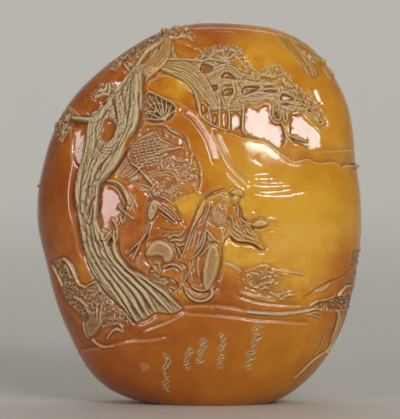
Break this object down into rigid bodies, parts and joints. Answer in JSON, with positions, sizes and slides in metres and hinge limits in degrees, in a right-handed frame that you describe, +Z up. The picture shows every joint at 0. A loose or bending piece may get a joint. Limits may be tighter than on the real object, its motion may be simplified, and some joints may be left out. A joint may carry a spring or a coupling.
{
  "type": "stone landscape carving",
  "caption": "Upright polished soapstone pebble carved in thin relief with an old pine, figures and rocks, on a small flat underside.",
  "frame": {"origin": "on the flat underside, below the middle of the stone's bounding box", "axes": "+Z up the height of the stone, +X to the viewer's right when looking at the carved front, the carved front faces -Y"},
  "size_m": [0.0812, 0.0424, 0.0952],
  "materials": {
    "honey_soapstone": "translucent honey and orange-brown soapstone, waxed and hand polished, with paler matt relief carving"
  },
  "bodies": {
    "root": {"carved_stone": "honey_soapstone"}
  },
  "joints": []
}
